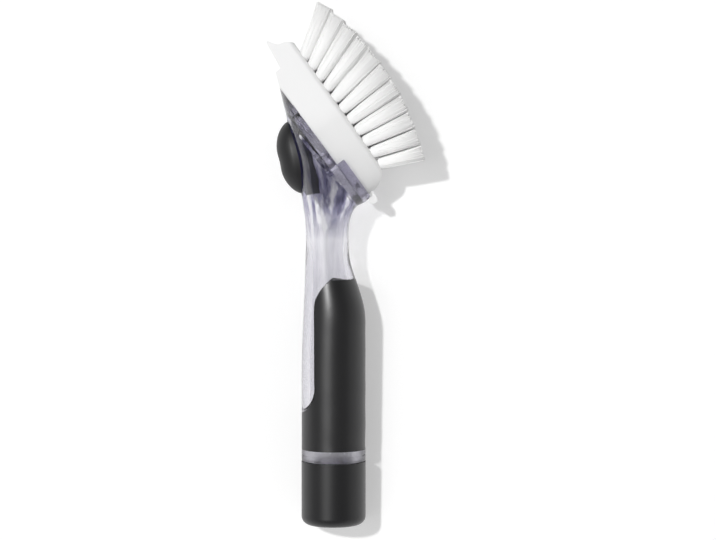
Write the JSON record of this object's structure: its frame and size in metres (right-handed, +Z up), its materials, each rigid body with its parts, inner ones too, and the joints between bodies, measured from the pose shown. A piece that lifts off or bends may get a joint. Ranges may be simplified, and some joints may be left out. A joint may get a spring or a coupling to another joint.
{
  "type": "dish wand",
  "caption": "Soap-dispensing dish brush: clear reservoir handle with a black grip and screw cap, a rubber pump button and a clip-on white brush block with a scraper nose.",
  "frame": {"origin": "centre of the screw cap's flat end face", "axes": "+Y along the handle from the cap to the head, +X to the side that the tufts point to, +Z up from the surface on which the wand lies on its side; the handle slopes up a little towards the wider head"},
  "size_m": [0.0802, 0.2676, 0.045],
  "materials": {
    "clear_plastic": "clear, smooth",
    "grip_rubber": "satin",
    "cap_black": "satin",
    "core_grey": "satin",
    "collar_dark": "satin",
    "seal_silicone": "matte",
    "button_rubber": "satin",
    "white_plastic": "satin",
    "bristle_nylon": "satin",
    "anchor_metal": "bright"
  },
  "bodies": {
    "handle": {"handle_body": "clear_plastic", "grip_sleeve": "grip_rubber", "head_plate": "clear_plastic", "button_collar": "collar_dark", "soap_valve": "seal_silicone", "valve_retainer": "clear_plastic"},
    "seal": {"cap_seal": "seal_silicone"},
    "end_cap": {"cap_core": "core_grey", "cap_cover": "cap_black"},
    "pump": {"pump_button": "button_rubber"},
    "brush_head": {"brush_block": "white_plastic", "tuft_anchors": "anchor_metal", "tuft_row_01": "bristle_nylon", "tuft_row_02": "bristle_nylon", "tuft_row_03": "bristle_nylon", "tuft_row_04": "bristle_nylon", "tuft_row_05": "bristle_nylon", "tuft_row_06": "bristle_nylon", "tuft_row_07": "bristle_nylon", "tuft_row_08": "bristle_nylon", "tuft_row_09": "bristle_nylon", "tuft_row_10": "bristle_nylon", "tuft_row_11": "bristle_nylon"}
  },
  "joints": [
    {"name": "cap_lift", "type": "slide", "parent": "handle", "child": "seal", "axis": [0, -0.9996, -0.0291], "range_m": [0, 0.0101]},
    {"name": "cap_turn", "type": "hinge", "parent": "seal", "child": "end_cap", "pos_m": [0, 0, 0], "axis": [0, -0.9996, -0.0291], "range_deg": [0, 720]},
    {"name": "button_press", "type": "slide", "parent": "handle", "child": "pump", "axis": [0.9804, 0.197, 0.0057], "range_m": [0, 0.003], "stiffness_N_per_m": 1500},
    {"name": "head_slide", "type": "slide", "parent": "handle", "child": "brush_head", "axis": [-0.5934, 0.8046, 0.0234], "range_m": [0, 0.05]}
  ],
  "couplings": [
    {"joint": "cap_lift", "follows": "cap_turn", "m_per_rad": 0.00079577}
  ]
}
